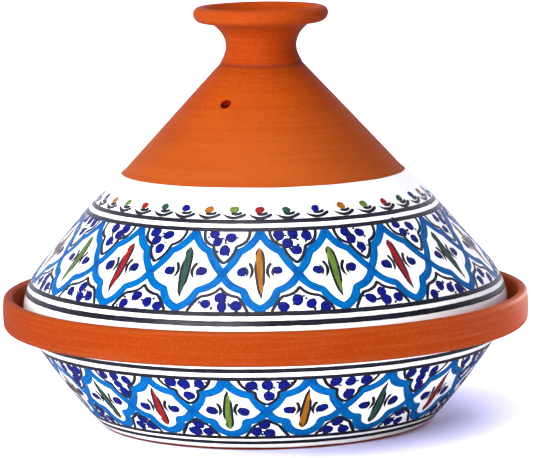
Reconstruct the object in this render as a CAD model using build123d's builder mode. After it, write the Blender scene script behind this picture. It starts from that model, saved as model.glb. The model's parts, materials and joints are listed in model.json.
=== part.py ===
from build123d import *
import math
import os

os.makedirs("parts", exist_ok=True)

# A tagine: an earthenware cooking pot of two loose pieces, a wide dish and a tall conical lid.
# Units are millimetres. +Z is up, the origin is the centre of the foot on the table, and -Y is
# the front. Every piece is thrown on a wheel, so every section is drawn as (radius, height) in
# the XZ plane and turned about Z.

# ---- Driving dimensions ----

# Dish
RIM_RADIUS = 155.0          # widest point of the bare clay rim
RIM_TOP = 77.2
RIM_BOTTOM = 57.3
RIM_SWELL = 0.6             # how far the rim's outer face swells
RIM_BOTTOM_ROUND = 4.0
RIM_TOP_ROUND = 2.6         # outer edge of the rim's top
RIM_INNER_ROUND = 2.0       # inner edge of the rim's top
FOOT_RADIUS = 97.4
FOOT_HEIGHT = 2.6           # bare band of clay below the glaze
FOOT_ROUND = 0.8
WALL_FOOT_RADIUS = 99.2     # where the glazed wall starts, on top of the foot
WALL_TOP_RADIUS = 140.2     # where the wall meets the underside of the rim
WALL_BULGE = 1.7            # how far the wall swells outside the straight line
DISH_WALL = 7.0
FLOOR_HEIGHT = 10.0         # inside of the dish, at its centre
FLOOR_TURN_RADIUS = 96.4    # where the floor's curve becomes the wall
FLOOR_TURN_HEIGHT = 18.0
RECESS_RADIUS = 84.0        # shallow hollow under the floor, so that the pot stands on a ring
RECESS_DEPTH = 1.6
LEDGE_HEIGHT = 62.7         # gallery that the lid stands on
LEDGE_RADIUS = 134.5        # inner edge of the gallery
GALLERY_RADIUS = 147.6      # inner face of the rim at the ledge
GALLERY_ROUND = 2.0
RIM_INNER_RADIUS = 149.4    # inner face of the rim at its top

# Lid
SEAT_GAP = 0.2              # between the lid's foot and the ledge
SKIRT_RADIUS = 142.4        # near-vertical foot of the lid
SKIRT_TOP = 70.0
SHOULDER = (138.0, 85.0)    # places on the outside of the painted band, going up
BAND_MIDDLE = (121.0, 106.2)
BAND_UPPER = (102.8, 127.4)
GLAZE_LINE_RADIUS = 83.1    # where the white band ends and the bare cone begins
GLAZE_LINE_HEIGHT = 147.65
NECK_RADIUS = 24.2          # crease between the cone and the knob's neck
NECK_HEIGHT = 211.2
LID_WALL = 6.5
LID_FOOT_ROUND = 1.2
CAP_HEIGHT = 204.0          # underside of the clay that closes the top of the cone
CAP_ROUND = 5.0

# Knob, going up its outside and down into its cup
NECK_LEAN = (-0.5, 1.0)     # direction of the neck as it leaves the cone
WAIST_RADIUS = 20.8
WAIST_HEIGHT = 220.2
FLARE_RADIUS = 28.6         # top of the neck's flare, under the lip
FLARE_HEIGHT = 234.2
FLARE_LEAN = (1.0, 0.7)
LIP_ROUND_RADIUS = 35.2     # where the lip's flat underside starts to round up
LIP_ROUND_HEIGHT = 235.2
LIP_RADIUS = 39.6
LIP_HEIGHT = 239.4          # height of the lip's widest point
CREST_RADIUS = 35.4
KNOB_TOP = 244.4
CUP_EDGE = (30.8, 241.4)    # places on the cup's side
CUP_SIDE = (15.0, 230.0)
CUP_FLOOR_RADIUS = 8.0
CUP_FLOOR_HEIGHT = 224.5
CUP_FLOOR_LEAN = (-1.0, -0.1)

# Steam vent through the cone
VENT_RADIUS = 2.7
VENT_HEIGHT = 191.1
VENT_AZIMUTH = 29.4         # degrees from the front, towards -X

# Glaze
COAT = 0.5                  # thickness of every coat of glaze
LINING_GAP = 0.25           # running gap outside the lid's lining
BARE_SKIRT = 3.0            # wiped clean of glaze above the lid's foot


# ---- Curves shared by the clay and its glaze ----

def beside(curve, station, distance):
    """Point at a distance from a curve's station, square to it, on its right-hand side."""
    along = curve % station
    return curve @ station + Vector(along.Y, -along.X) * distance


def parallel(curve, distance):
    """Curve that runs at a distance from another one, on its right-hand side."""
    return Spline(*[beside(curve, step / 6, distance) for step in range(7)])


def swollen(start, end, swell):
    """Arc from start to end that swells out of the straight line, to its right, by swell."""
    start, end = Vector(*start), Vector(*end)
    chord = end - start
    outward = Vector(chord.Y, -chord.X).normalized()
    return ThreePointArc(start, (start + end) / 2 + outward * swell, end)


def coat_outline(curves, near, far):
    """Closed outline of a coat between two distances from a chain of smoothly joined curves."""
    near_curves = [parallel(curve, near) if near else curve for curve in curves]
    far_curves = [parallel(curve, far) for curve in curves]
    for curve in near_curves + far_curves:
        add(curve)
    Line(near_curves[0] @ 0, far_curves[0] @ 0)
    Line(near_curves[-1] @ 1, far_curves[-1] @ 1)


def corner(section, radius, height):
    """The corner of a section that is nearest to a radius and height."""
    return section.vertices().sort_by_distance((radius, height))[0]


# Outside of the dish, going up
dish_wall = swollen((WALL_FOOT_RADIUS, FOOT_HEIGHT), (WALL_TOP_RADIUS, RIM_BOTTOM), WALL_BULGE)

# Inside of the dish, going down from the ledge: wall, then a turn that ends level on the floor
turn_start = (FLOOR_TURN_RADIUS, FLOOR_TURN_HEIGHT)
bowl_wall = swollen((LEDGE_RADIUS, LEDGE_HEIGHT), turn_start, -WALL_BULGE)
turn_direction = bowl_wall % 1
turn_radius = (FLOOR_TURN_HEIGHT - FLOOR_HEIGHT) / (1 + turn_direction.X)
floor_edge = (FLOOR_TURN_RADIUS + turn_direction.Y * turn_radius, FLOOR_HEIGHT)
bowl_turn = TangentArc(turn_start, floor_edge, tangent=turn_direction)
bowl_floor = Line(floor_edge, (0, FLOOR_HEIGHT))

# Outside of the lid, going up: skirt, painted band, bare cone
lid_foot = LEDGE_HEIGHT + SEAT_GAP
cone_direction = Vector(NECK_RADIUS - GLAZE_LINE_RADIUS, NECK_HEIGHT - GLAZE_LINE_HEIGHT)
lid_skirt = Line((SKIRT_RADIUS, lid_foot + BARE_SKIRT), (SKIRT_RADIUS, SKIRT_TOP))
lid_band = Spline(
    (SKIRT_RADIUS, SKIRT_TOP),
    SHOULDER,
    BAND_MIDDLE,
    BAND_UPPER,
    (GLAZE_LINE_RADIUS, GLAZE_LINE_HEIGHT),
    tangents=[(0, 1), cone_direction],
)

# Inside of the lid, going up
lid_inner_skirt = Line(
    (SKIRT_RADIUS - LID_WALL, lid_foot + BARE_SKIRT), (SKIRT_RADIUS - LID_WALL, SKIRT_TOP)
)
lid_inner_band = parallel(lid_band, -LID_WALL)
cone_inner_foot = lid_inner_band @ 1
cone_inner_rise = (CAP_HEIGHT - cone_inner_foot.Y) / cone_direction.Y
cone_inner_top = cone_inner_foot + cone_direction * cone_inner_rise


# ---- Dish ----

with BuildPart() as dish_body:
    with BuildSketch(Plane.XZ) as dish_section:
        with BuildLine():
            Polyline(
                (0, RECESS_DEPTH),
                (RECESS_RADIUS, RECESS_DEPTH),
                (RECESS_RADIUS + RECESS_DEPTH, 0),
                (FOOT_RADIUS, 0),
                (WALL_FOOT_RADIUS, FOOT_HEIGHT),
            )
            add(dish_wall)
            rim_edge = RIM_RADIUS - RIM_SWELL
            Line((WALL_TOP_RADIUS, RIM_BOTTOM), (rim_edge, RIM_BOTTOM))
            add(swollen((rim_edge, RIM_BOTTOM), (rim_edge, RIM_TOP), RIM_SWELL))
            Polyline(
                (rim_edge, RIM_TOP),
                (RIM_INNER_RADIUS, RIM_TOP),
                (GALLERY_RADIUS, LEDGE_HEIGHT),
                (LEDGE_RADIUS, LEDGE_HEIGHT),
            )
            add(bowl_wall)
            add(bowl_turn)
            add(bowl_floor)
            Line((0, FLOOR_HEIGHT), (0, RECESS_DEPTH))
        make_face()
        fillet(corner(dish_section, rim_edge, RIM_BOTTOM), RIM_BOTTOM_ROUND)
        fillet(corner(dish_section, rim_edge, RIM_TOP), RIM_TOP_ROUND)
        fillet(corner(dish_section, RIM_INNER_RADIUS, RIM_TOP), RIM_INNER_ROUND)
        fillet(corner(dish_section, GALLERY_RADIUS, LEDGE_HEIGHT), GALLERY_ROUND)
        fillet(corner(dish_section, FOOT_RADIUS, 0), FOOT_ROUND)
    revolve(axis=Axis.Z)
dish_body.part.label = "dish_body"
export_step(dish_body.part, "parts/dish_body.step")

# White glaze on the outside, from the bare foot up to the underside of the bare rim
with BuildPart() as dish_outer_glaze:
    with BuildSketch(Plane.XZ):
        with BuildLine():
            coat_outline([dish_wall], 0, COAT)
        make_face()
    revolve(axis=Axis.Z)
dish_outer_glaze.part.label = "dish_outer_glaze"
export_step(dish_outer_glaze.part, "parts/dish_outer_glaze.step")

# Glazed lining of the cooking bowl, up to the ledge
with BuildPart() as dish_inner_glaze:
    with BuildSketch(Plane.XZ):
        with BuildLine():
            coat_outline([bowl_wall, bowl_turn, bowl_floor], 0, COAT)
        make_face()
    revolve(axis=Axis.Z)
dish_inner_glaze.part.label = "dish_inner_glaze"
export_step(dish_inner_glaze.part, "parts/dish_inner_glaze.step")


# ---- Lid ----

# Hollow clay cone with a closed top, a foot that drops into the gallery, and one steam vent
with BuildPart() as lid_cone:
    with BuildSketch(Plane.XZ) as lid_section:
        with BuildLine():
            Line((SKIRT_RADIUS - LID_WALL, lid_foot), (SKIRT_RADIUS, lid_foot))
            Line((SKIRT_RADIUS, lid_foot), lid_skirt @ 0)
            add(lid_skirt)
            add(lid_band)
            Polyline(lid_band @ 1, (NECK_RADIUS, NECK_HEIGHT), (0, NECK_HEIGHT), (0, CAP_HEIGHT))
            Polyline((0, CAP_HEIGHT), cone_inner_top, cone_inner_foot)
            add(lid_inner_band)
            add(lid_inner_skirt)
            Line(lid_inner_skirt @ 0, (SKIRT_RADIUS - LID_WALL, lid_foot))
        make_face()
        fillet(corner(lid_section, SKIRT_RADIUS, lid_foot), LID_FOOT_ROUND)
        fillet(corner(lid_section, SKIRT_RADIUS - LID_WALL, lid_foot), LID_FOOT_ROUND)
        fillet(corner(lid_section, cone_inner_top.X, cone_inner_top.Y), CAP_ROUND)
    revolve(axis=Axis.Z)
    azimuth = math.radians(VENT_AZIMUTH)
    outward = Vector(-math.sin(azimuth), -math.cos(azimuth), 0)
    cone_slope = -cone_direction.X / cone_direction.Y
    vent_reach = NECK_RADIUS + (NECK_HEIGHT - VENT_HEIGHT) * cone_slope
    vent_mouth = outward * vent_reach + Vector(0, 0, VENT_HEIGHT)
    with Locations(Plane(vent_mouth, z_dir=outward + Vector(0, 0, cone_slope))):
        Hole(VENT_RADIUS, depth=2 * LID_WALL)
lid_cone.part.label = "lid_cone"
export_step(lid_cone.part, "parts/lid_cone.step")

# White glaze on the outside, from the wiped foot up to the bare cone
with BuildPart() as lid_outer_glaze:
    with BuildSketch(Plane.XZ):
        with BuildLine():
            coat_outline([lid_skirt, lid_band], 0, COAT)
        make_face()
    revolve(axis=Axis.Z)
lid_outer_glaze.part.label = "lid_outer_glaze"
export_step(lid_outer_glaze.part, "parts/lid_outer_glaze.step")

# Glazed lining, dipped to the same height as the outside, with a running gap behind it
with BuildPart() as lid_inner_glaze:
    with BuildSketch(Plane.XZ):
        with BuildLine():
            lining_back = -LID_WALL - LINING_GAP
            coat_outline([lid_skirt, lid_band], lining_back, lining_back - COAT)
        make_face()
    revolve(axis=Axis.Z)
lid_inner_glaze.part.label = "lid_inner_glaze"
export_step(lid_inner_glaze.part, "parts/lid_inner_glaze.step")

# Knob, thrown apart and luted to the cone: a waisted neck under a round lip, with a cup in its top
with BuildPart() as lid_knob:
    with BuildSketch(Plane.XZ):
        with BuildLine():
            Line((0, NECK_HEIGHT), (NECK_RADIUS, NECK_HEIGHT))
            neck = Spline(
                (NECK_RADIUS, NECK_HEIGHT),
                (WAIST_RADIUS, WAIST_HEIGHT),
                (FLARE_RADIUS, FLARE_HEIGHT),
                tangents=[NECK_LEAN, FLARE_LEAN],
            )
            under_lip = Line(neck @ 1, (LIP_ROUND_RADIUS, LIP_ROUND_HEIGHT))
            lip_side = TangentArc(under_lip @ 1, (LIP_RADIUS, LIP_HEIGHT), tangent=under_lip % 1)
            lip_top = TangentArc(lip_side @ 1, (CREST_RADIUS, KNOB_TOP), tangent=lip_side % 1)
            Spline(
                lip_top @ 1,
                CUP_EDGE,
                CUP_SIDE,
                (CUP_FLOOR_RADIUS, CUP_FLOOR_HEIGHT),
                tangents=[lip_top % 1, CUP_FLOOR_LEAN],
            )
            Polyline(
                (CUP_FLOOR_RADIUS, CUP_FLOOR_HEIGHT), (0, CUP_FLOOR_HEIGHT), (0, NECK_HEIGHT)
            )
        make_face()
    revolve(axis=Axis.Z)
lid_knob.part.label = "lid_knob"
export_step(lid_knob.part, "parts/lid_knob.step")
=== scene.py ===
import json
import random
from bisect import bisect_left
from math import atan2, ceil, cos, degrees, hypot, inf, pi, radians, sin, sqrt, tau

import bmesh
import bpy
from mathutils import Matrix, Quaternion, Vector
from mathutils.geometry import interpolate_bezier
from mathutils.noise import noise

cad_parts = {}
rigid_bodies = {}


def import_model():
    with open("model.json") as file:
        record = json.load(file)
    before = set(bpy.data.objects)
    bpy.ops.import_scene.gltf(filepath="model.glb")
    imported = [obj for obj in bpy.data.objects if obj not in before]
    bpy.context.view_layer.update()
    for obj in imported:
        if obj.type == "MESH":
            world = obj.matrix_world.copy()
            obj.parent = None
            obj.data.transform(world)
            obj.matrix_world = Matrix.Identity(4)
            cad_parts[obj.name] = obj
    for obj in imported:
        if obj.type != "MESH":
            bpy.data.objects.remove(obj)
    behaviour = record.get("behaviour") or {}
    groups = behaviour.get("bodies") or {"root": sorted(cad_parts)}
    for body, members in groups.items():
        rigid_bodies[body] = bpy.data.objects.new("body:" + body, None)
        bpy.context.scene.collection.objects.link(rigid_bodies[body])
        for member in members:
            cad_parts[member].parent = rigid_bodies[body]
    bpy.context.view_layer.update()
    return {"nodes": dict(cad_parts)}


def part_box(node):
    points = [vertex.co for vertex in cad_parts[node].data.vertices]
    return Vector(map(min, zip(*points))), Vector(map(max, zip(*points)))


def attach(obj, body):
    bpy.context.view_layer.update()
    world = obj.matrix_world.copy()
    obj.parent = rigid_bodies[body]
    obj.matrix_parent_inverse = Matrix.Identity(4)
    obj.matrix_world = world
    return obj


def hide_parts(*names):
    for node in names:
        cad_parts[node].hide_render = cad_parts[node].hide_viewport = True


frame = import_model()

# A painted earthenware tagine: a dish and a tall lid, both thrown on a wheel from red clay. Each
# has a band of white glaze with hand-painted medallions, drawn here stroke by stroke.
# Lengths are metres. The painting is laid out in degrees round the pot, from the front and
# growing to the viewer's right, and in millimetres up the slope of the glaze.

MM = 0.001
FULL_TURN = 360


# ---- Rows of points ----

def pairs(row, closed=False):
    """Each item with the next, and the last with the first where the row closes."""
    return zip(row, row[1:] + row[:1] if closed else row[1:])


def in_between(row, closed):
    """Each item between its neighbours, for which it stands in itself at an open end."""
    before = row[-1:] if closed else row[:1]
    after = row[:1] if closed else row[-1:]
    return zip(before + row[:-1], row, row[1:] + after)


def bow(start, control, end, steps=12):
    """Points along a bow from start to end that leans towards control."""
    points = []
    for step in range(steps + 1):
        t = step / steps
        points.append(tuple(
            a * (1 - t) ** 2 + b * 2 * t * (1 - t) + c * t ** 2
            for a, b, c in zip(start, control, end)
        ))
    return points


def spot(azimuth, radius, height):
    """The point at an azimuth, a radius and a height."""
    angle = radians(azimuth)
    return Vector((radius * sin(angle), -radius * cos(angle), height))


def short_turn(start, end):
    """Degrees from one azimuth to another, by the short way round."""
    return (end - start + FULL_TURN / 2) % FULL_TURN - FULL_TURN / 2


def clamped(share):
    return min(1, max(0, share))


# ---- Outlines of the turned pieces, read from the frame ----

WELD = 1e-6
CORNER = radians(20)  # a sharper turn than this is a real corner
ROW_STEP = 1.6 * MM  # longest step between two rows of a turned mesh
TURN_STEP = radians(6)  # largest turn between two rows
WEAR = 0.35 * MM  # how far worn edges reach on either side of a corner
WEAR_STEPS = 4
CLEAR_OF_WEAR = 1.5  # times its reach, within which a corner keeps no other points
LONGER = 3  # a side this many times its neighbour is a straight one


def half_section(node):
    """The (radius, height) points of a CAD node's outline, with the solid on their left, and
    whether it closes without touching the axis."""
    cut = bmesh.new()
    cut.from_mesh(frame["nodes"][node].data)
    bmesh.ops.remove_doubles(cut, verts=cut.verts, dist=WELD)
    for across, one_half in (((1, 0, 0), True), ((0, 1, 0), False)):
        found = bmesh.ops.bisect_plane(
            cut, geom=cut.verts[:] + cut.edges[:] + cut.faces[:], dist=WELD,
            plane_co=(0, 0, 0), plane_no=across, clear_inner=one_half,
        )
    neighbours = {}
    for part in found["geom_cut"]:
        if isinstance(part, bmesh.types.BMEdge):
            for vertex in part.verts:
                neighbours.setdefault(vertex, []).append(part.other_vert(vertex))
    ends = [vertex for vertex in neighbours if len(neighbours[vertex]) == 1]
    chain = [min(ends or neighbours, key=lambda vertex: (round(vertex.co.z, 6), vertex.co.x))]
    previous = None
    while True:
        onward = [vertex for vertex in neighbours[chain[-1]] if vertex is not previous]
        if not onward or onward[0] is chain[0]:
            break
        previous = chain[-1]
        chain.append(onward[0])
    points = [Vector((max(vertex.co.x, 0), vertex.co.z)) for vertex in chain]
    cut.free()
    closed = not ends
    if closed and sum(before.cross(after) for before, after in pairs(points, closed)) < 0:
        points.reverse()
    return points, closed


def smooth_runs(points, closed):
    """The outline cut at its corners."""
    corners = [
        index for index, (before, point, after) in enumerate(in_between(points, closed))
        if (point - before).angle(after - point, 0) > CORNER
    ]
    if closed:
        points = points[corners[0]:] + points[:corners[0] + 1]
        cuts = [corner - corners[0] for corner in corners]
    else:
        cuts = [0] + corners
    cuts.append(len(points) - 1)
    return [points[first:last + 1] for first, last in pairs(cuts)]


def headings(run):
    """The direction of a smooth line at each point of a run."""
    sides = [after - before for before, after in pairs(run)]
    inner = []
    for back, onward in pairs(sides):
        if back.length > LONGER * onward.length:
            heading = back
        elif onward.length > LONGER * back.length:
            heading = onward
        else:
            heading = back.normalized() * onward.length + onward.normalized() * back.length
        inner.append(heading.normalized())
    if not inner:
        return [sides[0].normalized()] * 2
    first = inner[0].reflect(sides[0].orthogonal().normalized())
    last = inner[-1].reflect(sides[-1].orthogonal().normalized())
    return [first] + inner + [last]


def refined_run(run):
    """A run of points with more points on the smooth line through them."""
    ways = headings(run)
    fine = [run[0]]
    for (start, end), (leave, arrive) in zip(pairs(run), pairs(ways)):
        length = (end - start).length
        steps = max(1, ceil(length / ROW_STEP), ceil(leave.angle(arrive) / TURN_STEP))
        handles = start + leave * length / 3, end - arrive * length / 3
        fine += interpolate_bezier(start, *handles, end, steps + 1)[1:]
    return fine


def run_length(run):
    return sum((after - before).length for before, after in pairs(run))


def turned_outline(node):
    """The outline of a CAD node with lightly worn corners, and whether it is closed."""
    points, closed = half_section(node)
    runs = [refined_run(run) for run in smooth_runs(points, closed)]
    lengths = [run_length(run) for run in runs]
    wear = [min(WEAR, before / 3, after / 3) for before, after in pairs(lengths, True)]
    if not closed:
        wear[-1] = 0
    outline = [] if closed else [runs[0][0]]
    for index, run in enumerate(runs):
        near, far = wear[index - 1], wear[index]
        corner = run[-1]
        for point in run[1:-1]:
            from_start, from_end = (point - run[0]).length, (point - corner).length
            if from_start > CLEAR_OF_WEAR * near and from_end > CLEAR_OF_WEAR * far:
                outline.append(point)
        if not far:
            outline.append(corner)
            continue
        beyond = runs[(index + 1) % len(runs)][1]
        start, end = [corner + (side - corner).normalized() * far for side in (run[-2], beyond)]
        outline += [Vector(point) for point in bow(start, corner, end, WEAR_STEPS)]
    return outline, closed


# ---- Turned meshes ----

AROUND = 360  # facets round a turned piece
WHEEL_DRIFT = 0.18 * MM  # how far the wheel ran out of true
DRIFT_TURN, DRIFT_RISE = 1.3, 14  # waves of that drift, round the pot and up it
EDGE_SIZE = 1.2 * MM  # radius at which an edge counts as sharp
VALUE_KEYS = {"FLOAT": "value", "FLOAT_VECTOR": "vector", "FLOAT_COLOR": "color"}


def out_of_true(azimuth, height, seed):
    """Radial drift of a piece thrown by hand."""
    place = spot(azimuth, DRIFT_TURN, height * DRIFT_RISE) + Vector((seed, 0, 0))
    return WHEEL_DRIFT * noise(place)


def edge_strength(before, point, after):
    """From 0 on flats and hollows to 1 on sharp outer edges."""
    back, onward = point - before, after - point
    if min(back.length, onward.length) < WELD:
        return 0
    turn = atan2(back.cross(onward), back.dot(onward))
    return clamped(EDGE_SIZE * turn / (0.5 * (back.length + onward.length)))


def lumpy_ring(steps, waves):
    """Points round a circle of radius 1 with waves on it, each a count, a size and a phase."""
    ring = []
    for step in range(steps):
        angle = tau * step / steps
        reach = 1 + sum(size * sin(count * angle + phase) for count, size, phase in waves)
        ring.append(Vector((reach * cos(angle), reach * sin(angle))))
    return ring


def skin(rows, closed=False):
    """Faces between rows of vertices, each of them a ring or a single point."""
    faces = []
    for here, there in pairs(rows, closed):
        for step in range(max(len(here), len(there))):
            corners = (here, step), (here, step + 1), (there, step + 1), (there, step)
            faces.append(tuple(dict.fromkeys(row[at % len(row)] for row, at in corners)))
    return faces


def add_values(mesh, name, kind, values):
    """Stores one value per vertex as a named attribute."""
    attribute = mesh.attributes.new(name, kind, "POINT")
    if kind != "FLOAT":
        values = [number for value in values for number in value]
    attribute.data.foreach_set(VALUE_KEYS[kind], values)


def make_piece(name, vertices, faces):
    """A smooth-shaded object from vertices and faces, with its faces turned outwards."""
    mesh = bpy.data.meshes.new(name)
    mesh.from_pydata(vertices, [], faces)
    work = bmesh.new()
    work.from_mesh(mesh)
    bmesh.ops.recalc_face_normals(work, faces=work.faces)
    work.to_mesh(mesh)
    work.free()
    mesh.shade_smooth()
    piece = bpy.data.objects.new(name, mesh)
    bpy.context.scene.collection.objects.link(piece)
    return piece


def turned(name, node, shape):
    """Turns the outline of a CAD node about the axis. shape(azimuth, radius, height) gives
    a point's real radius and height."""
    outline, closed = turned_outline(node)
    vertices, edges, rows = [], [], []
    for index, (before, point, after) in enumerate(in_between(outline, closed)):
        first = len(vertices)
        if not closed and index in (0, len(outline) - 1):
            vertices.append((0, 0, point.y))
            edges.append(0)
        else:
            strength = edge_strength(before, point, after)
            for step in range(AROUND):
                azimuth = FULL_TURN * step / AROUND
                vertices.append(spot(azimuth, *shape(azimuth, point.x, point.y)))
                edges.append(strength)
        rows.append(range(first, len(vertices)))
    piece = make_piece(name, vertices, skin(rows, closed))
    add_values(piece.data, "edge", "FLOAT", edges)
    return piece


# ---- Colours ----

def pigment(red, green, blue):
    """Linear colour from one written as a screen shows it, each part up to 255."""
    parts = []
    for value in (red, green, blue):
        share = value / 255
        parts.append(share / 12.92 if share < 0.04045 else ((share + 0.055) / 1.055) ** 2.4)
    return (*parts, 1)


CLAY_BRIGHT = pigment(156, 63, 8)
CLAY_DEEP = pigment(128, 43, 6)
CLAY_PALE = pigment(164, 91, 44)
CLAY_RUDDY = pigment(158, 38, 3)
CLAY_EDGE = pigment(122, 76, 59)
# Painted shade, for the foot's side near the floor and for the crease where the knob meets the cone
CLAY_PAINTED_SHADE = pigment(99, 32, 23)
# Painted shade near the steam vent's mouth, and bright painted light deeper in its shade
VENT_PAINTED_SHADE = pigment(98, 20, 5)
VENT_PAINTED_LIGHT = pigment(230, 60, 20)
GLAZE_WHITE = pigment(251, 252, 252)
GLAZE_SHADE = pigment(242, 244, 249)
LINING_WHITE = pigment(210, 208, 202)
LINING_SHADE = pigment(196, 195, 190)
AZURE = pigment(2, 92, 157)
AZURE_DEEP = pigment(1, 62, 128)
LINE_BLACK = pigment(11, 10, 16)
LINE_GREY = pigment(31, 33, 46)
COBALT = pigment(16, 25, 113)
COBALT_DEEP = pigment(8, 9, 69)
RED = pigment(144, 29, 29)
LIGHT_GREEN = pigment(90, 121, 46)
DARK_GREEN = pigment(41, 76, 64)
OCHRE = pigment(151, 95, 22)


# ---- The painted bands ----

class Band:
    """The outer face of a coat of glaze, and the layout of its painting. A place on it has an
    azimuth and a slant, which is how many millimetres it lies up the slope."""

    def __init__(self):
        sides = sorted(smooth_runs(*half_section(self.node)), key=run_length)[-2:]
        outer = max(sides, key=lambda side: sum(point.x for point in side) / len(side))
        if outer[0].y > outer[-1].y:
            outer = outer[::-1]
        self.points = refined_run(outer)
        self.slants = [self.lowest_slant]
        for before, after in pairs(self.points):
            self.slants.append(self.slants[-1] + (after - before).length / MM)

    def locate(self, slant):
        """Radius and height at a slant, and the direction up the slope."""
        index = bisect_left(self.slants, slant, 1, len(self.slants) - 1) - 1
        before, after = self.points[index:index + 2]
        share = (slant - self.slants[index]) / (self.slants[index + 1] - self.slants[index])
        return before.lerp(after, share), (after - before).normalized()

    def radius(self, slant):
        """Radius in millimetres."""
        return self.locate(slant)[0].x / MM

    def at(self, azimuth, slant, lift):
        """The place that lies lift metres above the glaze."""
        point, uphill = self.locate(slant)
        point = point + Vector((uphill.y, -uphill.x)) * lift
        return spot(azimuth, point.x + out_of_true(azimuth, point.y, self.seed), point.y)

    def beside(self, azimuth, slant, right, up=0):
        """The azimuth and slant some millimetres to the right of a place and up the slope."""
        return azimuth + degrees(right / self.radius(slant)), slant + up

    def span(self, start, end):
        """Millimetres round the pot and up the slope from one place to another."""
        radius = self.radius(0.5 * (start[1] + end[1]))
        return radians(short_turn(start[0], end[0])) * radius, end[1] - start[1]

    def node_after(self, number):
        """Azimuth where the ribbons cross to the right of a medallion."""
        return 0.5 * (self.centre(number) + self.centre(number + 1))


STROKE_STEP = 0.8  # millimetres between two stations of a brush stroke
FINE_STEPS = 4  # steps along a path to each station
WAVER, WAVER_LENGTH, WAVER_LANE = 0.10, 9, 0.5  # millimetres that a stroke strays sideways
SWELL, SWELL_LENGTH, SWELL_LANE = 0.09, 5, 7.7  # share by which its width comes and goes
SUNK, DEEP = -0.06 * MM, -0.12 * MM  # the underside of the paint lies inside the glaze
FINE_TIP = 0.10  # share of the full width left at a stroke's tip
EVEN_LOAD = 0.5  # how thick most paint lies
STROKE_LANE = 3.1  # from the streaks of one stroke to the next
# Across a stroke: position, and share of the paint's thickness
STROKE_TOP = [(-0.94, 0.55), (-0.7, 0.92), (-0.3, 1), (0.3, 1), (0.7, 0.92), (0.94, 0.55)]
# From a blob's middle to its edge
BLOB_TOP = [(0, 1), (0.3, 1), (0.6, 0.97), (0.85, 0.8), (0.95, 0.5)]
BLOB_AROUND = 22
BLOB_LUMPS = [(2, 1), (3, 0.6), (5, 0.4)]  # waves round a blob's edge, and their share
HAND_TURN, HAND_RISE = 4, 0.05  # waves of the painter's drift, round the pot and up it
HAND_REACH, HAND_LIFT = 0.45, 0.7  # degrees and millimetres of that drift
HAND_LANE = Vector((31.7, 4.1, 8.3))
# What the material needs: place across and along a stroke, thickness and colour
STORED = [("across", "FLOAT"), ("flow", "FLOAT_VECTOR"), ("load", "FLOAT"), ("tint", "FLOAT_COLOR")]


def mirrored(path):
    """The same path on the other side of its centre, run backwards."""
    return [(-across, slant) for across, slant in reversed(path)]


def joined(first, second):
    """One path from two that follow on from each other."""
    return first + second[1:]


def cusped(start, first_control, cusp, second_control, end):
    """Two bows that meet at a cusp."""
    return joined(bow(start, first_control, cusp), bow(cusp, second_control, end))


def placed(path, centre, scale=1):
    """A path moved round the pot to a centre, and stretched round it."""
    return [(centre + across * scale, slant) for across, slant in path]


def tip_share(distance, tip, width):
    """Share of a stroke's width at a distance from its end, which thins out over the length of
    the tip, or is round if that is 0."""
    if tip:
        share = min(1, distance / tip) ** 0.8
    else:
        share = sqrt(1 - (1 - min(1, distance / (0.5 * width))) ** 2)
    return max(FINE_TIP, share)


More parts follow.
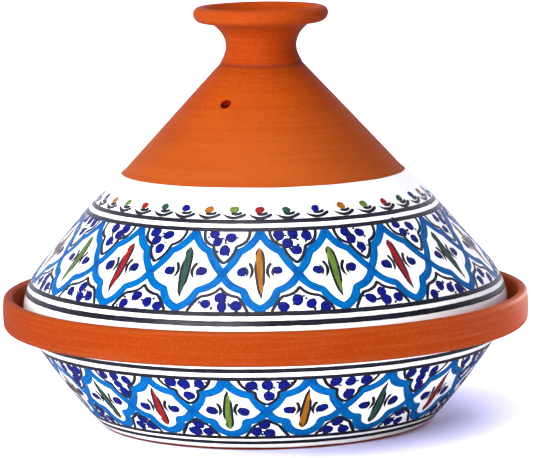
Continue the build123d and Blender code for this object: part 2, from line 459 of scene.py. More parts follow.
class Paint:
    """Brush strokes of one kind of paint on one band, gathered into one piece."""

    def __init__(self, band, thickness, seed):
        self.band = band
        underside = [(1, SUNK), (0, DEEP)]
        self.dome = [(share, height * thickness) for share, height in BLOB_TOP] + underside
        top = [(across, height * thickness) for across, height in STROKE_TOP]
        self.section = [(-1, SUNK)] + top + underside
        self.random = random.Random(seed)
        self.vertices, self.stored, self.faces = [], [], []
        self.strokes = 0

    def vary(self, low, high):
        return self.random.uniform(low, high)

    def by_hand(self, azimuth, slant):
        """Where the painter's hand puts a point."""
        meant = spot(azimuth, HAND_TURN, slant * HAND_RISE + self.band.seed)
        sideways, upwards = noise(meant), noise(meant + HAND_LANE)
        return azimuth + HAND_REACH * sideways, slant + HAND_LIFT * upwards

    def stations(self, path, closed, softness):
        """The path in even steps with its corners rounded."""
        dense = []
        for start, end in pairs(path, closed):
            turn = short_turn(start[0], end[0])
            count = max(1, round(hypot(*self.band.span(start, end)) / (STROKE_STEP / FINE_STEPS)))
            for step in range(count):
                t = step / count
                dense.append((start[0] + turn * t, start[1] + (end[1] - start[1]) * t))
        if not closed:
            dense.append(path[-1])
        even = dense[::FINE_STEPS]
        if not closed and even[-1] != dense[-1]:
            even.append(dense[-1])
        for _ in range(softness):
            rounded = []
            for before, (azimuth, slant), after in in_between(even, closed):
                turn = short_turn(azimuth, before[0]) + short_turn(azimuth, after[0])
                rise = before[1] + after[1] - 2 * slant
                rounded.append((azimuth + 0.25 * turn, slant + 0.25 * rise))
            if not closed:
                rounded[0], rounded[-1] = even[0], even[-1]
            even = rounded
        return even

    def add_row(self, azimuth, slant, places, load, tint):
        """Adds vertices round a place: how far right and up in millimetres each lies, how high
        in metres, and the values to store."""
        first = len(self.vertices)
        for right, up, lift, across, flow in places:
            self.vertices.append(self.band.at(*self.band.beside(azimuth, slant, right, up), lift))
            self.stored.append((across, (*flow, self.strokes * STROKE_LANE), load, tint))
        return range(first, len(self.vertices))

    def stroke(self, path, width, profile=None, closed=False, tips=(0, 0), softness=1,
               tint=RED, wetness=None, free=True):
        """One brush stroke. profile gives the share of its width at a share of the way, and
        wetness the load of paint at a place. free lets the hand drift."""
        self.strokes += 1
        if free:
            path = [self.by_hand(*place) for place in path]
        line = self.stations(path, closed, softness)
        travelled = [0]
        for before, after in pairs(line):
            travelled.append(travelled[-1] + hypot(*self.band.span(before, after)))
        total = travelled[-1]
        phase = self.vary(0, 100)
        rows = []
        for went, (before, here, after) in zip(travelled, in_between(line, closed)):
            half = 0.5 * width * (1 + SWELL * noise((went / SWELL_LENGTH, phase, SWELL_LANE)))
            if profile:
                half *= profile(went / total)
            elif not closed:
                half *= tip_share(went, tips[0], width) * tip_share(total - went, tips[1], width)
            run, rise = self.band.span(before, after)
            size = hypot(run, rise) or 1
            waver = WAVER * noise((went / WAVER_LENGTH, phase, WAVER_LANE))
            places = []
            for across, lift in self.section:
                offset = across * half
                right, up = -rise / size * (waver + offset), run / size * (waver + offset)
                places.append((right, up, lift, across, (went, offset)))
            load = wetness(*here) if wetness else EVEN_LOAD
            rows.append(self.add_row(*here, places, load, tint))
        self.faces += skin(rows, closed)
        if not closed:
            self.faces += [tuple(rows[0]), tuple(rows[-1])]

    def blob(self, azimuth, slant, size, aspect=1, lean=0, tint=RED, lumps=0.06):
        """One dab: its width, height over width, lean in degrees, and how uneven its edge is."""
        self.strokes += 1
        azimuth, slant = self.by_hand(azimuth, slant)
        waves = [(count, lumps * share, self.vary(0, tau)) for count, share in BLOB_LUMPS]
        leaning = Matrix.Rotation(radians(lean), 2) * 0.5 * size
        edge = [leaning @ Vector((x, aspect * y)) for x, y in lumpy_ring(BLOB_AROUND, waves)]
        rows = []
        for share, lift in self.dome:
            ring = [point * share for point in edge] if share else [Vector((0, 0))]
            places = [(*point, lift, share, point) for point in ring]
            rows.append(self.add_row(azimuth, slant, places, EVEN_LOAD, tint))
        self.faces += skin(rows)


# ---- The ornament ----

PITCH = 20  # degrees from one medallion to the next
LID_FRONT, DISH_FRONT = -1.3, -10.6  # azimuth of the one nearest to the front
MEDALLIONS = 18
BORDER_DOTS = 39
# Widths of the thin black lines, in millimetres
CORNER_WIDTH = 2.1
LEAF_LINE_WIDTH = 1.65
BRACKET_WIDTH = 2.05
EYE_ARC_WIDTH = 1.8
SMILE_WIDTH = 2.15
BOW_WIDTH = 2.25
LEAF_WIDTH = 5
BORDER_COLOURS = [RED, DARK_GREEN, COBALT, OCHRE, LIGHT_GREEN]


class LidBand(Band):
    """Its paths are (degrees, slant) from a medallion's centre or, for the corners between
    medallions, from a node where the ribbons cross."""
    body, node = "lid", "lid_outer_glaze"
    seed, lowest_slant = 3.7, -6.1
    colours = [OCHRE, LIGHT_GREEN, RED, DARK_GREEN]
    rings = [(73.7, 3), (68.2, 2.9), (13.5, 2.9), (8, 3.3)]  # slant and width
    ribbon_width = 5
    ribbon_top = cusped((0, 66.4), (2.5, 56.2), (5.8, 53.7), (7.3, 45.6), (10, 39.2))
    ribbon_bottom = cusped((10, 39.2), (8.45, 30.4), (4.3, 28), (3.25, 19.4), (0, 16.4))
    upper_corner = cusped((7, 68), (7.25, 59.4), (3.3, 57.2), (2.75, 50.5), (0, 45.8))
    lower_corner = cusped((0, 30.2), (1.2, 24.9), (4.4, 24.2), (5.9, 20.8), (7.3, 14.4))
    # A corner gets one of these sets of dabs
    upper_dabs = [
        [(-4.3, 64.2), (0.2, 64.6), (4.2, 64), (0.3, 56.4)],
        [(-3.7, 65), (1.4, 63.2), (-2.5, 59.8), (0.1, 54.2)],
        [(-4.4, 64.4), (-0.1, 65), (4.3, 64.2), (-1.7, 59.4), (0.6, 53.8)],
        [(3.9, 64.8), (-0.9, 63.8), (2.4, 60), (-0.3, 54.6)],
    ]
    lower_dabs = [
        [(-3.3, 18.8), (0, 22.4), (3.4, 18.2)],
        [(-4.3, 17.4), (-1, 22.2), (1.9, 19.2), (5, 17.2)],
        [(-3.2, 19.6), (0.3, 23.4), (0.8, 17.8), (4.2, 18.4)],
    ]
    leaf_start, leaf_end, leaf_widest = 24, 56, 0.6
    eye_across, eye_slant, eye_size = 4.6, 40.5, 6.2
    dab_size = 6.6
    bracket = bow((3, 46.2), (1, 41), (2.9, 35.4))
    eye_arc = bow((4.1, 43.8), (2.6, 40.2), (3.8, 36.8))

    def centre(self, number):
        """Azimuth of a medallion; number 0 is at the front."""
        return LID_FRONT + PITCH * number


class DishBand(Band):
    """The same for the dish, whose leaves stand with their blunt end down."""
    body, node = "dish", "dish_outer_glaze"
    seed, lowest_slant = 11.2, 1.6
    colours = [LIGHT_GREEN, OCHRE, DARK_GREEN, RED]
    rings = [(64.9, 3.2), (58.9, 2.9), (10.2, 2.8), (5.4, 3)]
    ribbon_width = 5.8
    ribbon_top = cusped((0.4, 57.6), (1.05, 48.4), (6.2, 46.5), (7.5, 38.2), (10, 33))
    ribbon_bottom = cusped((10, 33), (8, 24.4), (4.8, 24.6), (4.8, 15.2), (0, 13.4))
    upper_corner = cusped((6.8, 58.4), (6, 50.9), (2.8, 49), (3.2, 42.1), (0, 38.8))
    lower_corner = cusped((0, 26.2), (1.5, 23), (3.4, 20.8), (3.9, 17.6), (6.2, 11))
    upper_dabs = [
        [(-3.6, 54.8), (0.1, 54.2), (4, 54.2), (0.4, 45.4)],
        [(-4.3, 55.2), (-0.7, 55.4), (3.3, 53.6), (-0.2, 49.6), (0.3, 43.8)],
        [(-3.8, 54.2), (0.6, 55.4), (4.2, 54.6), (1.4, 49.4), (-0.5, 44.6)],
    ]
    lower_dabs = [
        [(-0.3, 21.2), (-2.5, 14.8), (2.3, 14.7)],
        [(-0.6, 21.6), (-3, 15.4), (0.9, 14.4)],
        [(0.4, 21), (-1.6, 15), (3, 15.2)],
    ]
    leaf_start, leaf_end, leaf_widest = 49, 18.3, 0.64
    eye_across, eye_slant, eye_size = 4.6, 33.6, 7.5
    dab_size = 7.3
    bracket = bow((2.9, 39.9), (1.1, 34.6), (2.8, 29.2))
    eye_arc = bow((3.7, 36.9), (2.7, 33.4), (3.7, 30.2))

    def centre(self, number):
        """Azimuth of a medallion. The painter crept to the right of the even pitch."""
        even = DISH_FRONT + PITCH * number
        return even + 6.6 * (1 - cos(radians(even + PITCH)))


def around(count):
    """Numbers for what repeats round the pot: 0 is near the front, the seam at the back."""
    return range(-(count // 2), count - count // 2)


RING_POINTS = 120
RING_TURN, RING_WANDER = 2.5, 0.25  # waves of a ring's wander round the pot, and millimetres
RIBBON_LOAD = 0.45
CROSSING_LOAD, CROSSING_REACH = 0.5, 5  # added where ribbons cross, and over how many millimetres
APEX_LOAD, APEX_REACH = 0.35, 7


def paint_rings(paint):
    """Plain lines right round the pot."""
    for slant, width in paint.band.rings:
        phase = paint.vary(0, 50)
        path = []
        for step in range(RING_POINTS):
            azimuth = FULL_TURN * step / RING_POINTS
            wander = RING_WANDER * noise(spot(azimuth, RING_TURN, phase))
            path.append((azimuth, slant + wander))
        paint.stroke(path, width, closed=True, softness=0, free=False)


def paint_ribbons(paint):
    """Two waves that cross at every node and frame the medallions between them."""
    band = paint.band
    nodes = [band.node_after(number) for number in around(MEDALLIONS)]
    apex_slant, node_slant = band.ribbon_top[0][1], band.ribbon_top[-1][1]

    def wetness(azimuth, slant):
        """Paint lies double where the waves cross and where they meet at an apex."""
        nearest = min(abs(short_turn(node, azimuth)) for node in nodes)
        crossing = clamped(1 - hypot(nearest * 2, slant - node_slant) / CROSSING_REACH)
        apex = clamped(1 - abs(slant - apex_slant) / APEX_REACH)
        return RIBBON_LOAD + CROSSING_LOAD * crossing + APEX_LOAD * apex

    for start in (0, 1):
        wave = []
        for number in around(MEDALLIONS):
            middle = band.centre(number)
            left = 2 * (middle - band.node_after(number - 1)) / PITCH
            right = 2 * (band.node_after(number) - middle) / PITCH
            half = band.ribbon_bottom[::-1] if (number + start) % 2 else band.ribbon_top
            wave += placed(mirrored(half), middle, left)[:-1] + placed(half, middle, right)[:-1]
        paint.stroke(wave, band.ribbon_width, closed=True, softness=2, wetness=wetness)


def paint_corners(black, blue):
    """The corners between medallions: black outlines filled with dabs of cobalt and dots."""
    band = black.band
    upper = joined(band.upper_corner, mirrored(band.upper_corner))
    lower = joined(mirrored(band.lower_corner), band.lower_corner)
    for number in around(MEDALLIONS):
        node = band.node_after(number)
        scale = (band.centre(number + 1) - band.centre(number)) / PITCH
        for corner in (upper, lower):
            black.stroke(placed(corner, node, scale), CORNER_WIDTH)
        for choices in (band.upper_dabs, band.lower_dabs):
            for across, slant in choices[blue.random.randrange(len(choices))]:
                azimuth = node + (across + blue.vary(-0.25, 0.25)) * scale
                slant += blue.vary(-0.5, 0.5)
                size = band.dab_size * blue.vary(0.92, 1.08)
                blue.blob(azimuth, slant, size, blue.vary(0.88, 1.12), blue.vary(-40, 40))
                paint_specks(black, azimuth, slant)


def paint_specks(black, azimuth, slant):
    """One or two black dots beside a dab."""
    for _ in range(black.random.choice((1, 2, 2))):
        angle, reach = black.vary(0, tau), black.vary(3.5, 4.6)
        place = black.band.beside(azimuth, slant, reach * cos(angle), reach * sin(angle))
        black.blob(*place, black.vary(1.6, 2.2), black.vary(0.7, 1.1), lumps=0.12)


def leaf_profile(widest):
    """Share of a leaf's width along it: from a fine point to its widest and a blunt end."""
    def profile(share):
        if share < widest:
            return max(0.1, sin(0.5 * pi * share / widest) ** 0.6)
        end = (share - widest) / (1 - widest)
        return max(0.12, sqrt(1 - min(1, end) ** 2.6))
    return profile


# The lines along a leaf's edges: side, and the shares of the leaf's length where each line runs
LEAF_EDGES = [(-1, 0, 0.75), (1, 0.2, 1), (-1, 0.82, 1)]
LEAF_EDGE_STEPS = 12
LEAF_EDGE_ACROSS = 0.47  # share of the leaf's width
LEAF_POINT = 0.09  # share of its length that the line at its point covers


def paint_leaf(black, colour, number):
    """A leaf with a thin line along its edges and at its point."""
    band = black.band
    middle = band.centre(number)
    profile = leaf_profile(band.leaf_widest)
    lean = colour.vary(-0.35, 0.35)
    start, length = band.leaf_start, band.leaf_end - band.leaf_start

    def on_spine(share):
        return middle + lean * (2 * share - 1), start + length * share

    tint = band.colours[number % len(band.colours)]
    colour.stroke([on_spine(0), on_spine(1)], LEAF_WIDTH, profile, tint=tint, softness=0)
    for side, first, last in LEAF_EDGES:
        edge = []
        for step in range(LEAF_EDGE_STEPS + 1):
            share = first + (last - first) * step / LEAF_EDGE_STEPS
            across = side * LEAF_EDGE_ACROSS * LEAF_WIDTH * profile(share)
            edge.append(band.beside(*on_spine(share), across))
        black.stroke(edge, LEAF_LINE_WIDTH, tips=(3, 4))
    reach = LEAF_POINT * length
    point = [(middle - lean, start - 0.5 * reach), (middle - lean * 0.8, start + reach)]
    black.stroke(point, LEAF_LINE_WIDTH, tips=(2, 2), softness=0)


def paint_hearts(black, blue, colour):
    """In each medallion a leaf between two brackets and two eyes."""
    band = black.band
    for number in around(MEDALLIONS):
        paint_leaf(black, colour, number)
        middle = band.centre(number)
        for side in (-1, 1):
            bracket = placed(band.bracket, middle, side)
            black.stroke(bracket, BRACKET_WIDTH, tips=(0, 4), softness=0)
            azimuth = middle + side * (band.eye_across + blue.vary(-0.25, 0.2))
            slant = band.eye_slant + blue.vary(-0.8, 0.8)
            size = band.eye_size * blue.vary(0.92, 1.08)
            blue.blob(azimuth, slant, size, blue.vary(0.85, 1.05), side * 20)
            arc = placed(band.eye_arc, middle, side)
            black.stroke(arc, EYE_ARC_WIDTH, tips=(2, 3), softness=0)


def paint_border(black, colour):
    """Above the lid's top ring: dots, each over a small smile and a wide bow."""
    smile = bow((-1.2, 79.7), (0.9, 77.8), (2.8, 80.4))
    wide = bow((-3.9, 79.4), (0, 73.2), (4.2, 79.3))
    for number in around(BORDER_DOTS):
        even = LID_FRONT + FULL_TURN / BORDER_DOTS * number
        crept = 0.8 * (1 - cos(radians(4 * even)))
        middle = even + crept + colour.vary(-0.3, 0.3)
        slant = 81.9 + colour.vary(-0.4, 0.5)
        tint = BORDER_COLOURS[number % len(BORDER_COLOURS)]
        colour.blob(middle, slant, colour.vary(5, 5.7), 0.94, colour.vary(-25, 25), tint)
        black.stroke(placed(smile, middle), SMILE_WIDTH, tips=(1.5, 0), softness=0)
        black.stroke(placed(wide, middle), BOW_WIDTH, tips=(5, 0), softness=0)


# ---- Materials ----

# How fine the noises are, in waves per metre
KILN_BLOTCH, GRAIN, GROG = 16, 800, 420
GLAZE_BLOTCH, GLAZE_RIPPLE, PINHOLES, POOLS = 28, 90, 150, 260
CONE_SLOPE = 0.7  # wheel marks climb this much towards the axis
CLAY_SHEEN, SHEEN_HEIGHT = 0.26, 45 * MM  # painted sheen: how far the cone is painted paler, and over what height
PINHOLE_BROWN = pigment(120, 96, 88)
SHEEN_TINT = pigment(255, 222, 225)
THICK_PAINT = (0.5, 0.42, 0.42, 1)  # what a leaf's colour is multiplied by
STREAK_STRETCH = (0.09, 1.3, 1)


def plug(socket, value):
    """Links a socket to the one that feeds it, or sets its value."""
    if isinstance(value, bpy.types.NodeSocket):
        socket.id_data.links.new(value, socket)
    else:
        socket.default_value = value


def add_node(tree, kind, inputs=None, **settings):
    """Adds a shader node. inputs holds values or the sockets that feed them."""
    node = tree.nodes.new("ShaderNode" + kind)
    for key, value in settings.items():
        setattr(node, key, value)
    for key, value in (inputs or {}).items():
        plug(node.inputs[key], value)
    return node


def new_material(name):
    """A material with one Principled surface, and its node tree."""
    material = bpy.data.materials.new(name)
    material.use_nodes = True
    tree = material.node_tree
    tree.nodes.clear()
    surface = add_node(tree, "BsdfPrincipled")
    add_node(tree, "OutputMaterial", {"Surface": surface.outputs["BSDF"]})
    return material, tree, surface


def feed(surface, **inputs):
    """Sets or links a surface's inputs, named with underscores for spaces."""
    for name, value in inputs.items():
        plug(surface.inputs[name.replace("_", " ")], value)


def relief(height, depth):
    """A normal from a height, of which 1 stands for so many metres."""
    inputs = {"Height": height, "Distance": depth, "Strength": 1}
    return add_node(height.id_data, "Bump", inputs).outputs["Normal"]


def spread(value, low, high, to_low=0, to_high=1):
    """Maps a value from low..high to to_low..to_high, without leaving that range."""
    return add_node(value.id_data, "MapRange", {
        "Value": value, "From Min": low, "From Max": high, "To Min": to_low, "To Max": to_high,
    }).outputs["Result"]


def reckoned(operation, first, second=0):
    return add_node(first.id_data, "Math", {0: first, 1: second}, operation=operation).outputs[0]


def times(first, second):
    return reckoned("MULTIPLY", first, second)


def plus(first, second):
    return reckoned("ADD", first, second)


def with_vectors(operation, first, second, output="Vector"):
    inputs = {0: first, 1: second}
    return add_node(first.id_data, "VectorMath", inputs, operation=operation).outputs[output]


def part_of(vector, axis):
    return add_node(vector.id_data, "SeparateXYZ", {"Vector": vector}).outputs[axis]


def mixed(factor, first, second, blend="MIX"):
    """One colour or another by a factor. The factor or the first colour is a socket."""
    source = factor if isinstance(factor, bpy.types.NodeSocket) else first
    inputs = {0: factor, 6: first, 7: second}
    return add_node(source.id_data, "Mix", inputs, data_type="RGBA", blend_type=blend).outputs[2]


def place_in(tree):
    return add_node(tree, "TexCoord").outputs["Object"]


def stored(tree, name, output="Fac"):
    """What was stored on the vertices under a name."""
    return add_node(tree, "Attribute", attribute_name=name).outputs[output]


def plain_noise(place, scale, detail=3):
    inputs = {"Vector": place, "Scale": scale, "Detail": detail}
    return add_node(place.id_data, "TexNoise", inputs).outputs["Fac"]


def wheel_noise(place, round_scale, climb_scale, detail=2):
    """Noise drawn out round the wheel axis, as turning leaves it."""
    x, y, z = [part_of(place, axis) for axis in "XYZ"]
    across = add_node(place.id_data, "CombineXYZ", {"X": x, "Y": y}).outputs[0]
    radius = with_vectors("LENGTH", across, (0, 0, 0), "Value")
    climb = reckoned("SUBTRACT", z, times(radius, CONE_SLOPE))
    drawn_out = add_node(place.id_data, "CombineXYZ", {
        "X": times(x, round_scale), "Y": times(y, round_scale), "Z": times(climb, climb_scale),
    })
    return plain_noise(drawn_out.outputs[0], 1, detail)


def specks(place, scale, inner, outer):
    """1 inside small round specks, 0 between them."""
    cells = add_node(place.id_data, "TexVoronoi", {"Vector": place, "Scale": scale})
    return spread(cells.outputs["Distance"], inner, outer, 1, 0)


def paint_vent_shade_and_light(colour, place, mouth, outward):
    """Paints shade into the steam vent's walls near its mouth, and paints them bright red deeper
    in, painted light that lifts the shade that falls there.
    """
    inward = -outward
    apart = with_vectors("SUBTRACT", place, mouth)
    depth = with_vectors("DOT_PRODUCT", apart, inward, "Value")
    along = add_node(place.id_data, "VectorMath", {0: inward, "Scale": depth}, operation="SCALE")
    off_axis = with_vectors("DISTANCE", apart, along.outputs[0], "Value")
    inside = times(spread(off_axis, 3.3 * MM, 3.6 * MM, 1, 0), spread(depth, -0.1 * MM, 0.25 * MM))
    walls = mixed(spread(depth, 1 * MM, 5 * MM), VENT_PAINTED_SHADE, VENT_PAINTED_LIGHT)
    return mixed(inside, colour, walls)


def terracotta(name, painted_shade=0, ruddy=0, crease=None, sheen_below=None, vent=None):
    """Bare clay from the kiln: turning lines, kiln blotches, fine grog, and paler worn edges. How
    much darker it is as a whole is painted shade, a darker copy of the clay; ruddy is how much
    redder. Painted shade darkens it at a crease and on the foot's side near the floor, and a
    painted sheen makes it paler below a height. The steam vent's walls get painted shade and
    painted light."""
    material, tree, surface = new_material(name)
    place = place_in(tree)
    lines = wheel_noise(place, round_scale=14, climb_scale=620, detail=4)
    bands = wheel_noise(place, round_scale=4, climb_scale=170)
    blotch = plain_noise(place, KILN_BLOTCH, 4)
    grain = plain_noise(place, GRAIN)
    # The clay as a whole is darkened here by its setting, painted shade for the dish and knob
    colour = mixed(spread(blotch, 0.35, 0.70, painted_shade, 0.7 + 0.3 * painted_shade), CLAY_BRIGHT, CLAY_DEEP)
    # Strength and tone of what is laid over that, layer by layer
    layers = [
        (spread(bands, 0.45, 0.75, 0, 0.25), CLAY_DEEP),
        (ruddy, CLAY_RUDDY),
        (spread(lines, 0.48, 0.75, 0, 0.18), CLAY_PALE),
        (spread(lines, 0.28, 0.46, 0.20, 0), CLAY_DEEP),
        (spread(grain, 0.52, 0.72, 0, 0.22), CLAY_PALE),
        (spread(grain, 0.28, 0.46, 0.30, 0), CLAY_DEEP),
        (times(specks(place, GROG, 0.10, 0.16), 0.22), CLAY_DEEP),
        (times(stored(tree, "edge"), 0.25), CLAY_PALE),
    ]
    level = part_of(place, "Z")
    upward = part_of(add_node(tree, "NewGeometry").outputs["Normal"], "Z")
    # Painted shade: the foot's side darkens near the floor, its underside much less
    foot = times(spread(level, 1.5 * MM, 4 * MM, 0.8, 0), spread(upward, -0.95, -0.75, 0.15, 1))
    layers.append((foot, CLAY_PAINTED_SHADE))
    # Painted shade at the crease where the knob meets the cone
    if crease is not None:
        off = reckoned("ABSOLUTE", reckoned("SUBTRACT", level, crease))
        layers.append((spread(off, 0.2 * MM, 1.9 * MM, 0.55, 0), CLAY_PAINTED_SHADE))
    # Painted sheen: the cone is painted paler below a height
    if sheen_below is not None:
        layers.append((spread(level, sheen_below - SHEEN_HEIGHT, sheen_below, CLAY_SHEEN, 0), CLAY_PALE))
    for factor, tone in layers:
        colour = mixed(factor, colour, tone)
    # Painted shade and painted light in the steam vent
    if vent:
        colour = paint_vent_shade_and_light(colour, place, *vent)
    feed(
        surface, Base_Color=colour, Normal=relief(plus(lines, times(grain, 0.5)), 0.03 * MM),
        Roughness=spread(lines, 0.3, 0.7, 0.46, 0.6),
        Specular_IOR_Level=spread(lines, 0.5, 0.75, 0.02, 0.05),
        Sheen_Weight=0.012, Sheen_Roughness=0.4, Sheen_Tint=SHEEN_TINT,
    )
    return material


def glaze(name, white, shade):
    """Glossy white glaze, a little uneven in thickness, with pinholes and clay near its edges."""
    material, tree, surface = new_material(name)
    place = place_in(tree)
    ripple = plain_noise(place, GLAZE_RIPPLE, 2)
    pinhole = specks(place, PINHOLES, 0.035, 0.055)
    colour = mixed(spread(plain_noise(place, GLAZE_BLOTCH), 0.4, 0.7, 0, 0.7), white, shade)
    colour = mixed(times(pinhole, 0.45), colour, PINHOLE_BROWN)
    colour = mixed(times(stored(tree, "edge"), 0.5), colour, CLAY_EDGE)
    feed(
        surface, Base_Color=colour, Specular_IOR_Level=0.45,
        Normal=relief(reckoned("SUBTRACT", ripple, times(pinhole, 0.6)), 0.05 * MM),
        Roughness=spread(ripple, 0.3, 0.7, 0.07, 0.14),
    )
    return material


def brushed(name, colour, deep, shine, gloss=0.16, tinted=False):
    """Paint under gloss, streaked along the brush and darker where it is thick or pools.
    tinted takes the colour that was stored with each stroke."""
    material, tree, surface = new_material(name)
    flow = with_vectors("MULTIPLY", stored(tree, "flow", "Vector"), STREAK_STRETCH)
    streak = plain_noise(flow, 1)
    rim = reckoned("POWER", reckoned("ABSOLUTE", stored(tree, "across")), 5)
    density = plus(stored(tree, "load"), spread(streak, 0.3, 0.7, -0.45, 0.45))
    pools = plain_noise(place_in(tree), POOLS, 2)
    density = plus(density, spread(pools, 0.35, 0.65, -0.12, 0.12))
    density = plus(density, times(rim, 0.25))
    if tinted:
        colour = stored(tree, "tint", "Color")
        deep = mixed(1, colour, THICK_PAINT, "MULTIPLY")
    feed(
        surface, Base_Color=mixed(spread(density, 0.25, 1.05), colour, deep),
        Normal=relief(streak, 0.02 * MM),
        Roughness=spread(streak, 0.3, 0.7, gloss, gloss + 0.08), Specular_IOR_Level=shine,
    )
    return material


# ---- The pieces ----

LIP_WAVE = 0.25 * MM  # how uneven the knob's lip and the dish's rim stand
LIP_TURN = 1.6  # waves of that, round the pot
LIP_REACH = 6 * MM  # height over which it comes in
LOOSE_LIP, LOOSE_RIM = 12 * MM, 8 * MM  # how far below the top of knob and dish it starts
GLAZE_WAVE, GLAZE_TURN = 0.35 * MM, 4  # how uneven the glaze ends, and waves round the pot
GLAZE_REACH = 5 * MM  # how far from its end
LIP_LANE, GLAZE_LANE = 40, 20  # keep the noises of the two apart
FOOT_SLIDE = 0.9 * MM  # how far the dish's glaze ran down over its foot
SHEEN_START = 15 * MM  # how far below the cone's top the painted sheen starts
VENT_AZIMUTH = -29.4
VENT_HEIGHT = 191.1 * MM
# Along the steam vent, in millimetres: how far outside its mouth, and radius
VENT_RINGS = [(-9, 2.65), (-0.8, 2.75), (-0.25, 2.95), (0.6, 3.6)]
VENT_AROUND = 40
VENT_LUMPS = [(2, 0.03, 1), (5, 0.02, 0)]
NECK_RADIUS = 24.2 * MM  # where the knob's neck meets the cone


def settled(share):
    """Eases from 0 to 1."""
    share = clamped(share)
    return share * share * (3 - 2 * share)


def thrown(seed, loose_above=inf):
    """Shape of a piece thrown by hand. Above a height its edge also stands unevenly."""
    def shape(azimuth, radius, height):
        wave = LIP_WAVE * noise(spot(azimuth, LIP_TURN, seed + LIP_LANE))
        wave *= settled((height - loose_above) / LIP_REACH)
        return radius + out_of_true(azimuth, height, seed), height + wave
    return shape


def glazed(band, upper, slid=0):
    """Shape of a coat whose upper or lower edge has slid down the slope, and wavers."""
    edge, slope = band.locate(band.slants[-1 if upper else 0])

    def shape(azimuth, radius, height):
        gap = edge.y - height if upper else height - edge.y
        slide = GLAZE_WAVE * noise(spot(azimuth, GLAZE_TURN, band.seed + GLAZE_LANE)) - slid
        slide *= settled(1 - gap / GLAZE_REACH)
        height += slide * slope.y
        return radius + slide * slope.x + out_of_true(azimuth, height, band.seed), height
    return shape


def unmoved(_, radius, height):
    return radius, height


def finish_piece(piece, body, material):
    """Gives a piece its material and fixes it to its body."""
    piece.data.materials.append(material)
    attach(piece, body)


def vent_line():
    """The middle of the steam vent's mouth, and the way out of it."""
    low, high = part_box("lid_outer_glaze")[1].z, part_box("lid_cone")[1].z
    slope = (lid_band.points[-1].x - NECK_RADIUS) / (high - low)
    mouth = spot(VENT_AZIMUTH, NECK_RADIUS + (high - VENT_HEIGHT) * slope, VENT_HEIGHT)
    return mouth, spot(VENT_AZIMUTH, 1, slope).normalized()


def vent_cutter():
    """A tapered peg along the steam vent, a little wider at its mouth."""
    mouth, outward = vent_line()
    rotation = outward.to_track_quat("Z", "Y")
    vertices, rows = [], []
    for outside, radius in VENT_RINGS:
        rows.append(range(len(vertices), len(vertices) + VENT_AROUND))
        for point in lumpy_ring(VENT_AROUND, VENT_LUMPS):
            vertices.append(mouth + rotation @ Vector((*point * radius, outside)) * MM)
    ends = [tuple(rows[0]), tuple(rows[-1])]
    return make_piece("vent_cutter", vertices, skin(rows) + ends)


def bore_vent(cone):
    """Cuts the steam vent out of the cone's mesh."""
    cutter = vent_cutter()
    vent = cone.modifiers.new("vent", "BOOLEAN")
    vent.operation = "DIFFERENCE"
    vent.solver = "EXACT"
    vent.object = cutter
    bpy.context.view_layer.update()
    evaluated = cone.evaluated_get(bpy.context.evaluated_depsgraph_get())
    cut_mesh = bpy.data.meshes.new_from_object(evaluated)
    cone.modifiers.clear()
    cone.data = cut_mesh
    bpy.data.objects.remove(cutter)


def stand_in(name, node, body, material, shape, cut=None):
    """Turns the piece that stands for a CAD node."""
    piece = turned(name, node, shape)
    if cut:
        cut(piece)
    finish_piece(piece, body, material)
    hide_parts(node)


def make_dish():
    # The dish's clay is a darker copy, painted shade that tones down its lit rim
    clay = terracotta("dish_terracotta", painted_shade=0.85)
    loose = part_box("dish_body")[1].z - LOOSE_RIM
    run_down = glazed(dish_band, upper=False, slid=FOOT_SLIDE)
    seed = dish_band.seed
    stand_in("dish_clay", "dish_body", "dish", clay, thrown(seed, loose))
    stand_in("dish_glaze", "dish_outer_glaze", "dish", white, run_down)
    stand_in("dish_lining", "dish_inner_glaze", "dish", lining, thrown(seed))


def make_lid():
    luted, lip_top = [corner.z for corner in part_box("lid_knob")]
    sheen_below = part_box("lid_cone")[1].z - SHEEN_START
    # The cone gets painted shade at its crease, a painted sheen lower down, and painted shade and
    # light in its vent
    cone_clay = terracotta("cone_terracotta", crease=luted, sheen_below=sheen_below, vent=vent_line())
    # The knob's clay is a little darker too, painted shade, and redder
    knob_clay = terracotta("terracotta", painted_shade=0.1, ruddy=0.2, crease=luted)
    ending = glazed(lid_band, upper=True)
    seed, loose = lid_band.seed, lip_top - LOOSE_LIP
    stand_in("lid_clay", "lid_cone", "lid", cone_clay, thrown(seed), bore_vent)
    stand_in("lid_knob_clay", "lid_knob", "lid", knob_clay, thrown(seed, loose))
    stand_in("lid_glaze", "lid_outer_glaze", "lid", white, ending)
    stand_in("lid_lining_glaze", "lid_inner_glaze", "lid_lining", lining, unmoved)


def paint_band(band):
    """All the painting of one band, a piece for each kind of paint."""
    paints = [Paint(band, thickness, seed) for _, thickness, seed, _ in PAINTS]
    ribbons, lines, dabs, leaves = paints
    paint_rings(lines)
    paint_ribbons(ribbons)
    paint_corners(lines, dabs)
    paint_hearts(lines, dabs, leaves)
    if band is lid_band:
        paint_border(lines, leaves)
    for paint, (name, *_, material) in zip(paints, PAINTS):
        piece = make_piece(band.body + name, paint.vertices, paint.faces)
        for (value, kind), values in zip(STORED, zip(*paint.stored)):
            add_values(piece.data, value, kind, values)
        finish_piece(piece, band.body, material)


white = glaze("white_glaze", GLAZE_WHITE, GLAZE_SHADE)
lining = glaze("lining_glaze", LINING_WHITE, LINING_SHADE)
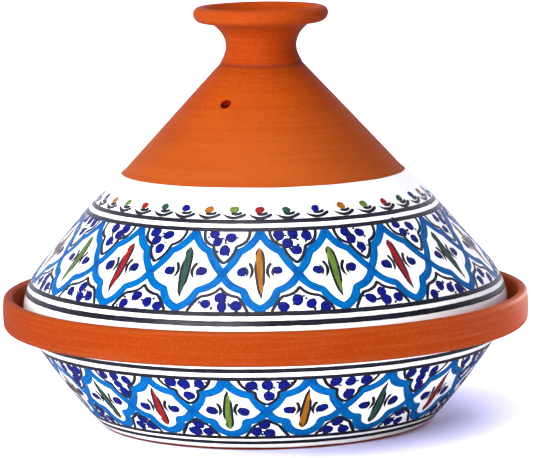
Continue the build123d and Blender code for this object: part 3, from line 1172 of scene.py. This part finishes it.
# Name, thickness, seed and material of each kind of paint
PAINTS = [
    ("_ribbons", 0.10 * MM, 101, brushed("azure_paint", AZURE, AZURE_DEEP, shine=0.03)),
    ("_lines", 0.13 * MM, 202, brushed("black_paint", LINE_GREY, LINE_BLACK, shine=0.14, gloss=0.2)),
    ("_dabs", 0.11 * MM, 303, brushed("cobalt_paint", COBALT, COBALT_DEEP, shine=0.05)),
    ("_leaves", 0.10 * MM, 404, brushed("leaf_paint", RED, RED, shine=0.05, tinted=True)),
]
lid_band, dish_band = LidBand(), DishBand()
make_dish()
make_lid()
paint_band(lid_band)
paint_band(dish_band)


# ---- Floor, light and camera ----

CAMERA_DISTANCE = 2.1
CAMERA_ELEVATION = radians(8.08)
CAMERA_ROLL = radians(-0.98)
AIM_HEIGHT = 0.1097
LENS = 240.5
SHIFT = (0.0041, 0.0096)
LIT_POINT = Vector((0, 0, 0.12))
WORLD_COLOUR = (0.9, 0.9, 1.1, 1)
WORLD_LIGHT = 0.27
BACKDROP = 1.1  # how bright reflections see the backdrop behind the pot
WARM = (1, 0.985, 0.96)
PINK = (1, 0.94, 0.97)
# Soft boxes: name, azimuth and elevation in degrees, distance, size, watts, colour, and the
# piece that a light falls on alone, or leaves out
LIGHTS = [
    ("key", -30, 16, 1.8, 1.3, 54, WARM, None),
    ("top", -25, 62, 1.8, 1.2, 23, WARM, None),
    ("left_edge", -153, 3, 1.5, 0.5, 9, PINK, None),
    ("right_edge", 146, 3, 1.5, 0.5, 22, PINK, ("lid_knob_clay", "EXCLUDE")),
    ("rim_edge", 146, 3, 1.5, 0.5, 34, PINK, ("dish_clay", "INCLUDE")),
    ("rim_side", 100, 3, 1.5, 0.5, 24, PINK, ("dish_clay", "INCLUDE")),
    ("knob_fill", -35, -4, 1.5, 0.5, 8, WARM, ("lid_knob_clay", "INCLUDE")),
]
UNREFLECTED = ("left_edge", "right_edge")
# Lights for the floor alone: name, azimuth, elevation and width in degrees, strength
FLOOR_LIGHTS = [
    ("floor_sky", -52, 68, 95, 5.3),
    ("floor_left", -100, 20, 30, 6.2),
    ("floor_back", 140, 48, 40, 2.4),
]
FLOOR_SIZE = 12
FLOOR_TONES = (0.59, 0.59, 0.85, 1), (0.61, 0.61, 0.87, 1)
FLOOR_BLOTCH = 6
# What the floor gives back to the pot, near it and further away
BOUNCE_NEAR = (0.6, 0.59, 0.62, 1)
BOUNCE_FAR = (0.12, 0.12, 0.13, 1)
TOUCHING = 3 * MM  # rays shorter than this pass the floor


def lay_floor():
    """A pale floor that can't be seen from below and doesn't shade the foot."""
    bpy.ops.mesh.primitive_plane_add(size=FLOOR_SIZE, location=(0, 0, 0))
    floor = bpy.context.object
    floor.name = "floor"
    material, tree, surface = new_material("floor")
    place = place_in(tree)
    distance = with_vectors("LENGTH", place, (0, 0, 0), "Value")
    ray = add_node(tree, "LightPath").outputs
    bounce = mixed(spread(distance, 0.25, 0.8), BOUNCE_NEAR, BOUNCE_FAR)
    bounce = mixed(ray["Is Diffuse Ray"], BOUNCE_FAR, bounce)
    tone = mixed(plain_noise(place, FLOOR_BLOTCH, 2), *FLOOR_TONES)
    seen = mixed(ray["Is Camera Ray"], bounce, tone)
    feed(surface, Base_Color=seen, Roughness=0.8, Specular_IOR_Level=0.1)
    underneath = add_node(tree, "NewGeometry").outputs["Backfacing"]
    passing = reckoned("MAXIMUM", underneath, reckoned("LESS_THAN", ray["Ray Length"], TOUCHING))
    clear = add_node(tree, "BsdfTransparent").outputs["BSDF"]
    one_sided = add_node(tree, "MixShader", {0: passing, 1: surface.outputs["BSDF"], 2: clear})
    output = surface.outputs["BSDF"].links[0].to_node
    plug(output.inputs["Surface"], one_sided.outputs["Shader"])
    floor.data.materials.append(material)


def add_aimed(name, data, place, toward):
    """A light or camera at a place, which faces a direction."""
    thing = bpy.data.objects.new(name, data)
    bpy.context.scene.collection.objects.link(thing)
    thing.location = place
    thing.rotation_mode = "QUATERNION"
    thing.rotation_quaternion = toward.to_track_quat("-Z", "Y")
    return thing


def hang_light(name, kind, azimuth, elevation, distance, power, linked=None):
    """A light that faces the pot. linked is a piece, and whether the light falls on it alone,
    INCLUDE, or on all the rest, EXCLUDE."""
    level = radians(elevation)
    away = spot(azimuth, cos(level), sin(level))
    light = add_aimed(name, bpy.data.lights.new(name, kind), LIT_POINT + away * distance, -away)
    light.data.energy = power
    light.visible_glossy = name not in UNREFLECTED
    if linked:
        chosen = bpy.data.collections.new(name + "_receivers")
        chosen.objects.link(bpy.data.objects[linked[0]])
        chosen.collection_objects[0].light_linking.link_state = linked[1]
        light.light_linking.receiver_collection = chosen
    return light.data


def light_studio():
    """A dim sky with a bright backdrop that only reflections see, and the lights."""
    world = bpy.data.worlds.new("studio")
    bpy.context.scene.world = world
    world.use_nodes = True
    tree = world.node_tree
    behind = spread(part_of(add_node(tree, "TexCoord").outputs["Generated"], "Y"), 0, 0.5)
    backdrop = times(behind, add_node(tree, "LightPath").outputs["Is Glossy Ray"])
    background = tree.nodes["Background"]
    background.inputs["Color"].default_value = WORLD_COLOUR
    plug(background.inputs["Strength"], spread(backdrop, 0, 1, WORLD_LIGHT, BACKDROP))
    for name, azimuth, elevation, distance, size, watts, colour, linked in LIGHTS:
        box = hang_light(name, "AREA", azimuth, elevation, distance, watts, linked)
        box.size = size
        box.color = colour
    for name, azimuth, elevation, width, strength in FLOOR_LIGHTS:
        sun = hang_light(name, "SUN", azimuth, elevation, 0, strength, ("floor", "INCLUDE"))
        sun.angle = radians(width)


def place_camera():
    data = bpy.data.cameras.new("camera")
    data.lens = LENS
    data.shift_x, data.shift_y = SHIFT
    toward = Vector((0, cos(CAMERA_ELEVATION), -sin(CAMERA_ELEVATION)))
    place = Vector((0, 0, AIM_HEIGHT)) - toward * CAMERA_DISTANCE
    camera = add_aimed("camera", data, place, toward)
    camera.rotation_quaternion @= Quaternion((0, 0, 1), CAMERA_ROLL)
    bpy.context.scene.camera = camera


lay_floor()
light_studio()
place_camera()
bpy.context.scene.view_settings.view_transform = "Standard"
